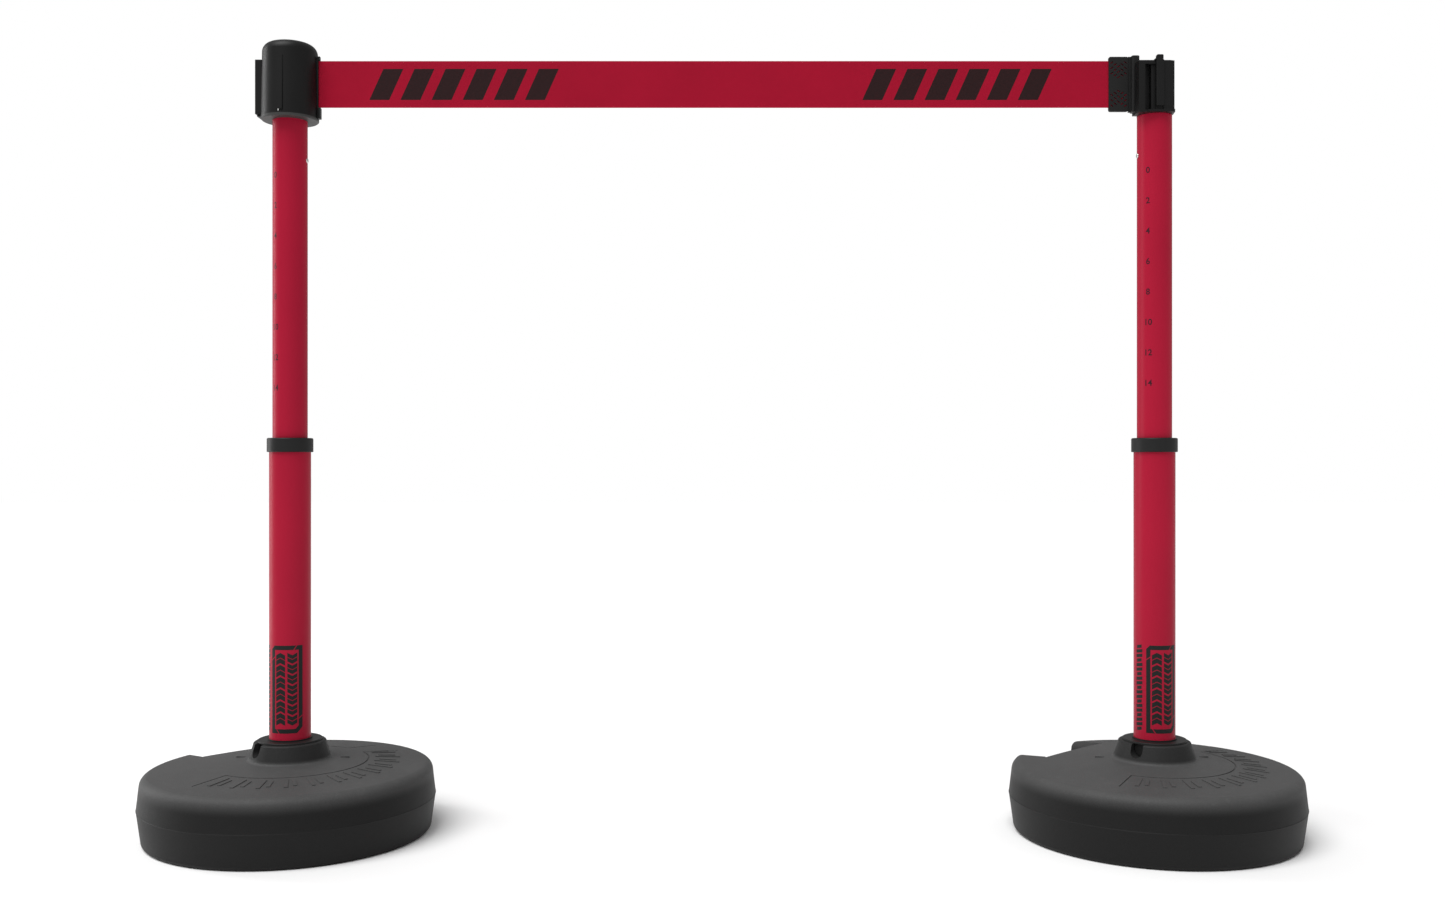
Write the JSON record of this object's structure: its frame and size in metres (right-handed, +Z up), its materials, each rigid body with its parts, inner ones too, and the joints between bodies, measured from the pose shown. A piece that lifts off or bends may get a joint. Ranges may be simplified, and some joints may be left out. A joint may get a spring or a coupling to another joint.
{
  "type": "retractable belt barrier",
  "caption": "Retractable belt barrier: telescoping posts on round fillable bases, a spring-reel belt cassette, a woven belt with hook clip, and a receiver head.",
  "frame": {"origin": "on the floor, midway between the two posts", "axes": "+X along the belt from the cassette post to the receiver post, +Z up, -Y the front"},
  "size_m": [1.553, 0.386, 1.0641],
  "materials": {
    "base_black": "fine moulded grain",
    "cap_black": "smooth moulded",
    "seal_rubber": "matt",
    "fitting_black": "satin moulded",
    "post_red": "satin powder coat with printed scale",
    "bearing_nylon": "natural",
    "bright_steel": "bright",
    "spring_steel": "blued strip",
    "head_black": "satin moulded",
    "head_underside": "satin moulded",
    "clip_black": "fine grain",
    "belt_red": "woven webbing with dark printed bars"
  },
  "bodies": {
    "left_base": {"left_base_shell": "base_black", "left_fill_gasket": "seal_rubber"},
    "left_filler": {"left_fill_cap": "cap_black"},
    "left_post": {"left_stop_flange": "fitting_black", "left_lower_tube": "post_red", "left_key_lug": "fitting_black", "left_tube_end_plug": "fitting_black", "left_clamp_collet": "bearing_nylon"},
    "left_collar": {"left_lock_collar": "fitting_black"},
    "left_mast": {"left_guide_bush": "bearing_nylon", "left_upper_tube": "post_red", "left_stop_rivet": "bright_steel", "cassette_floor": "head_underside", "cassette_body": "head_black", "cassette_foot_screw": "bright_steel", "cassette_rear_rail": "head_black", "belt_exit_frame": "head_black", "reel_spindle": "bright_steel", "return_spring": "spring_steel", "spring_arbor": "bright_steel"},
    "right_base": {"right_base_shell": "base_black", "right_fill_gasket": "seal_rubber"},
    "right_filler": {"right_fill_cap": "cap_black"},
    "right_post": {"right_stop_flange": "fitting_black", "right_lower_tube": "post_red", "right_key_lug": "fitting_black", "right_tube_end_plug": "fitting_black", "right_clamp_collet": "bearing_nylon"},
    "right_collar": {"right_lock_collar": "fitting_black"},
    "right_mast": {"right_guide_bush": "bearing_nylon", "right_upper_tube": "post_red", "right_stop_rivet": "bright_steel", "receiver_body": "head_black", "latch_finger": "head_black", "receiver_spigot": "fitting_black", "receiver_bolt": "bright_steel", "receiver_nut": "bright_steel", "receiver_bolt_cap": "head_black"},
    "belt_reel": {"belt_spool": "bearing_nylon", "belt_roll": "belt_red"},
    "belt_tape": {"belt_web": "belt_red"},
    "belt_clip": {"clip_front_plate": "clip_black", "clip_rear_plate": "clip_black", "clip_tee_bar": "clip_black"}
  },
  "joints": [
    {"name": "post_spacing", "type": "slide", "parent": "left_base", "child": "right_base", "axis": [1, 0, 0], "range_m": [-0.77, 1.9]},
    {"name": "left_filler_turn", "type": "hinge", "parent": "left_base", "child": "left_filler", "pos_m": [-0.66943, 0.09215, 0.046], "axis": [-0.682, 0.7314, 0], "range_deg": [0, 90]},
    {"name": "left_post_lift", "type": "slide", "parent": "left_base", "child": "left_post", "axis": [0, 0, 1], "range_m": [0, 0.13]},
    {"name": "left_collar_twist", "type": "hinge", "parent": "left_post", "child": "left_collar", "pos_m": [-0.5835, 0, 0.52], "axis": [0, 0, 1], "range_deg": [0, 45]},
    {"name": "left_height", "type": "slide", "parent": "left_post", "child": "left_mast", "axis": [0, 0, 1], "range_m": [-0.36, 0]},
    {"name": "right_filler_turn", "type": "hinge", "parent": "right_base", "child": "right_filler", "pos_m": [0.49757, 0.09215, 0.046], "axis": [-0.682, 0.7314, 0], "range_deg": [0, 90]},
    {"name": "right_post_lift", "type": "slide", "parent": "right_base", "child": "right_post", "axis": [0, 0, 1], "range_m": [0, 0.13]},
    {"name": "right_collar_twist", "type": "hinge", "parent": "right_post", "child": "right_collar", "pos_m": [0.5835, 0, 0.52], "axis": [0, 0, 1], "range_deg": [0, 45]},
    {"name": "right_height", "type": "slide", "parent": "right_post", "child": "right_mast", "axis": [0, 0, 1], "range_m": [-0.36, 0]},
    {"name": "belt_pull", "type": "slide", "parent": "left_mast", "child": "belt_tape", "axis": [1, 0, 0], "range_m": [-0.77, 1.9], "deforming": ["belt_web"]},
    {"name": "reel_turn", "type": "hinge", "parent": "left_mast", "child": "belt_reel", "pos_m": [-0.5835, 0, 1.01], "axis": [0, 0, 1], "range_deg": [-1545, 3811]},
    {"name": "clip_unhook", "type": "slide", "parent": "belt_tape", "child": "belt_clip", "axis": [0, 0, 1], "range_m": [0, 0.08]}
  ],
  "couplings": [
    {"joint": "belt_pull", "follows": "post_spacing", "ratio": 1},
    {"joint": "reel_turn", "follows": "post_spacing", "rad_per_m": 35},
    {"joint": "right_post_lift", "follows": "left_post_lift", "ratio": 1},
    {"joint": "right_height", "follows": "left_height", "ratio": 1}
  ]
}
